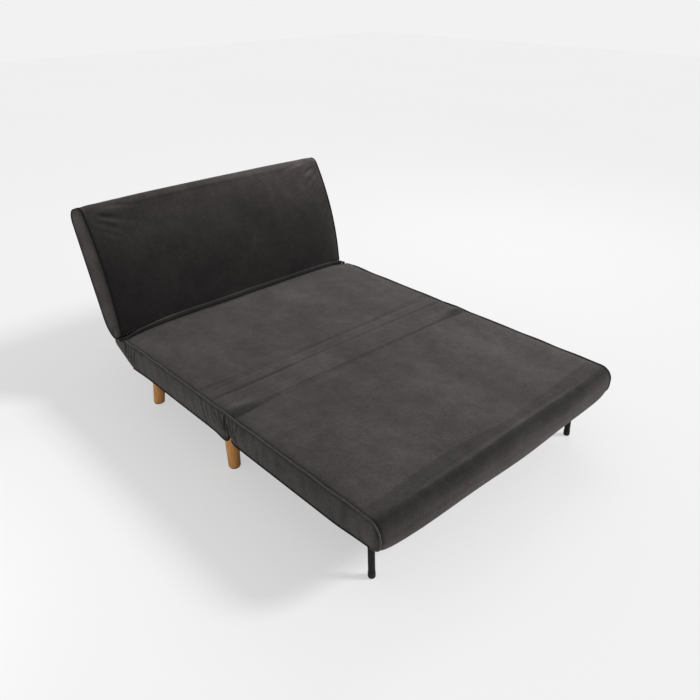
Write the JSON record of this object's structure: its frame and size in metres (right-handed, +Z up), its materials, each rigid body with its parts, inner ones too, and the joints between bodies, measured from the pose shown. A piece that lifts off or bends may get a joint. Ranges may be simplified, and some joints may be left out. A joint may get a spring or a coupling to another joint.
{
  "type": "sofa bed",
  "caption": "Armless two-seat sofa bed in corduroy, opened flat with its back raised; the foot section folds over onto the seat and the back reclines.",
  "frame": {"origin": "centre of the whole bed's footprint on the floor, opened out with its back raised", "axes": "+X to the right seen from the foot end, +Y towards the back, +Z up"},
  "size_m": [1.196, 1.7865, 0.7944],
  "materials": {
    "corduroy": "matte",
    "foam": "matte",
    "lining_cloth": "matte",
    "frame_steel": "satin",
    "leg_steel": "satin",
    "hinge_steel": "satin",
    "slat_wood": "satin",
    "leg_wood": "satin",
    "panel_board": "matte",
    "black_plastic": "matte"
  },
  "bodies": {
    "seat": {"seat_cover": "corduroy", "seat_foam": "foam", "seat_underside_cloth": "lining_cloth", "seat_rail_left": "frame_steel", "seat_rail_right": "frame_steel", "seat_rail_front": "frame_steel", "seat_rail_rear": "frame_steel", "seat_slat_1": "slat_wood", "seat_slat_2": "slat_wood", "seat_slat_3": "slat_wood", "seat_slat_4": "slat_wood", "wood_leg_front_left": "leg_wood", "wood_leg_front_right": "leg_wood", "wood_leg_rear_left": "leg_wood", "wood_leg_rear_right": "leg_wood", "leg_mounting_plates": "frame_steel", "leg_bolts": "hinge_steel", "leg_glides": "black_plastic", "recliner_base_left": "hinge_steel", "recliner_base_right": "hinge_steel", "fold_hinge_seat_leaf_left": "hinge_steel", "fold_hinge_seat_leaf_right": "hinge_steel", "seat_frame_screws": "hinge_steel", "recliner_pins": "hinge_steel"},
    "foot_section": {"foot_cover": "corduroy", "foot_top_foam": "foam", "foot_base_foam": "foam", "foot_rail_left": "frame_steel", "foot_rail_right": "frame_steel", "foot_rail_end": "frame_steel", "foot_rail_fold": "frame_steel", "foot_slat_1": "slat_wood", "foot_slat_2": "slat_wood", "foot_slat_3": "slat_wood", "foot_slat_4": "slat_wood", "fold_hinge_foot_leaf_left": "hinge_steel", "fold_hinge_foot_leaf_right": "hinge_steel", "fold_hinge_pins": "hinge_steel", "foot_frame_screws": "hinge_steel", "leg_bracket_left": "frame_steel", "leg_bracket_right": "frame_steel"},
    "fold_away_legs": {"foot_leg_crossbar": "leg_steel", "foot_leg_left": "leg_steel", "foot_leg_right": "leg_steel", "foot_leg_cap_left": "black_plastic", "foot_leg_cap_right": "black_plastic"},
    "back": {"back_cover": "corduroy", "back_front_foam": "foam", "back_rear_foam": "foam", "back_rail_left": "frame_steel", "back_rail_right": "frame_steel", "back_rail_top": "frame_steel", "back_rail_bottom": "frame_steel", "back_panel": "panel_board", "recliner_arm_left": "hinge_steel", "recliner_arm_right": "hinge_steel", "back_frame_screws": "hinge_steel"},
    "pawl_left": {"recliner_pawl_left": "hinge_steel"},
    "pawl_right": {"recliner_pawl_right": "hinge_steel"}
  },
  "joints": [
    {"name": "foot_section_fold", "type": "hinge", "parent": "seat", "child": "foot_section", "pos_m": [0, -0.16264, 0.313], "axis": [-1, 0, 0], "range_deg": [0, 180]},
    {"name": "back_recline", "type": "hinge", "parent": "seat", "child": "back", "pos_m": [0, 0.63436, 0.268], "axis": [-1, 0, 0], "range_deg": [-10, 70.7]},
    {"name": "metal_legs_fold", "type": "hinge", "parent": "foot_section", "child": "fold_away_legs", "pos_m": [0, -0.77464, 0.219], "axis": [1, 0, 0], "range_deg": [0, 92]},
    {"name": "pawl_release_left", "type": "hinge", "parent": "back", "child": "pawl_left", "pos_m": [-0.557, 0.68533, 0.29253], "axis": [-1, 0, 0], "range_deg": [0, 12], "stiffness_Nm_per_rad": 0.05},
    {"name": "pawl_release_right", "type": "hinge", "parent": "back", "child": "pawl_right", "pos_m": [0.557, 0.68533, 0.29253], "axis": [-1, 0, 0], "range_deg": [0, 12], "stiffness_Nm_per_rad": 0.05}
  ]
}
